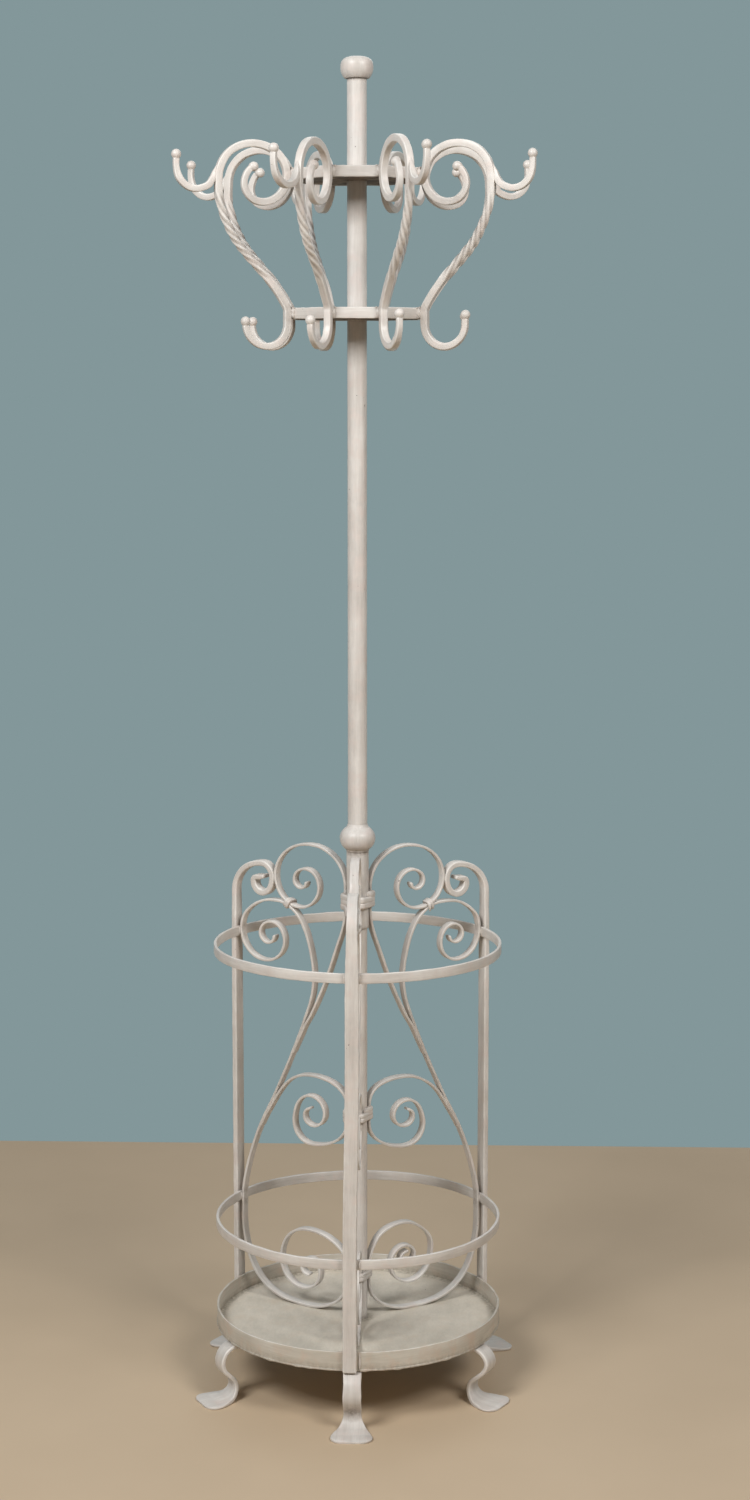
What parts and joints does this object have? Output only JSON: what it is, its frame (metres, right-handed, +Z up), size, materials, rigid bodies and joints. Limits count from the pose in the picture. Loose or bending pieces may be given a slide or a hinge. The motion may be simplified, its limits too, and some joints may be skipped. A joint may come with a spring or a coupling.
{
  "type": "hall tree",
  "caption": "Painted wrought-iron hall tree with branching hooks round a tube, and a scrolled cage over a round drip tray for sticks and umbrellas.",
  "frame": {"origin": "on the floor under the centre of the tube", "axes": "+Z up along the tube; -Y towards the front post; +X to the right of someone facing the front post"},
  "size_m": [0.479, 0.496, 1.846],
  "materials": {
    "iron_paint": "satin off-white paint, put on by brush",
    "tray_paint": "the same paint gone dull and grey-green with dust"
  },
  "bodies": {
    "root": {"finial": "iron_paint", "pole": "iron_paint", "knop": "iron_paint", "socket_sleeve": "iron_paint", "centre_tube": "iron_paint", "upper_hub_band": "iron_paint", "upper_hub_plate": "iron_paint", "lower_hub_band": "iron_paint", "lower_hub_plate": "iron_paint", "hook_bar_right_back": "iron_paint", "outer_hook_right_back": "iron_paint", "hook_bar_back_right": "iron_paint", "outer_hook_back_right": "iron_paint", "hook_bar_back_left": "iron_paint", "outer_hook_back_left": "iron_paint", "hook_bar_left_back": "iron_paint", "outer_hook_left_back": "iron_paint", "hook_bar_left_front": "iron_paint", "outer_hook_left_front": "iron_paint", "hook_bar_front_left": "iron_paint", "outer_hook_front_left": "iron_paint", "hook_bar_front_right": "iron_paint", "outer_hook_front_right": "iron_paint", "hook_bar_right_front": "iron_paint", "outer_hook_right_front": "iron_paint", "post_front": "iron_paint", "inner_bar_front": "iron_paint", "side_bar_front": "iron_paint", "middle_scroll_front": "iron_paint", "small_collar_front": "iron_paint", "post_right": "iron_paint", "inner_bar_right": "iron_paint", "side_bar_right": "iron_paint", "middle_scroll_right": "iron_paint", "small_collar_right": "iron_paint", "post_left": "iron_paint", "inner_bar_left": "iron_paint", "side_bar_left": "iron_paint", "middle_scroll_left": "iron_paint", "small_collar_left": "iron_paint", "top_collar": "iron_paint", "middle_collar": "iron_paint", "bottom_collar": "iron_paint", "upper_hoop": "iron_paint", "lower_hoop": "iron_paint", "tray_rim": "tray_paint", "tray_floor": "tray_paint", "leg_front": "iron_paint", "leg_right_front": "iron_paint", "leg_right_back": "iron_paint", "leg_back": "iron_paint", "leg_left_back": "iron_paint", "leg_left_front": "iron_paint"}
  },
  "joints": []
}
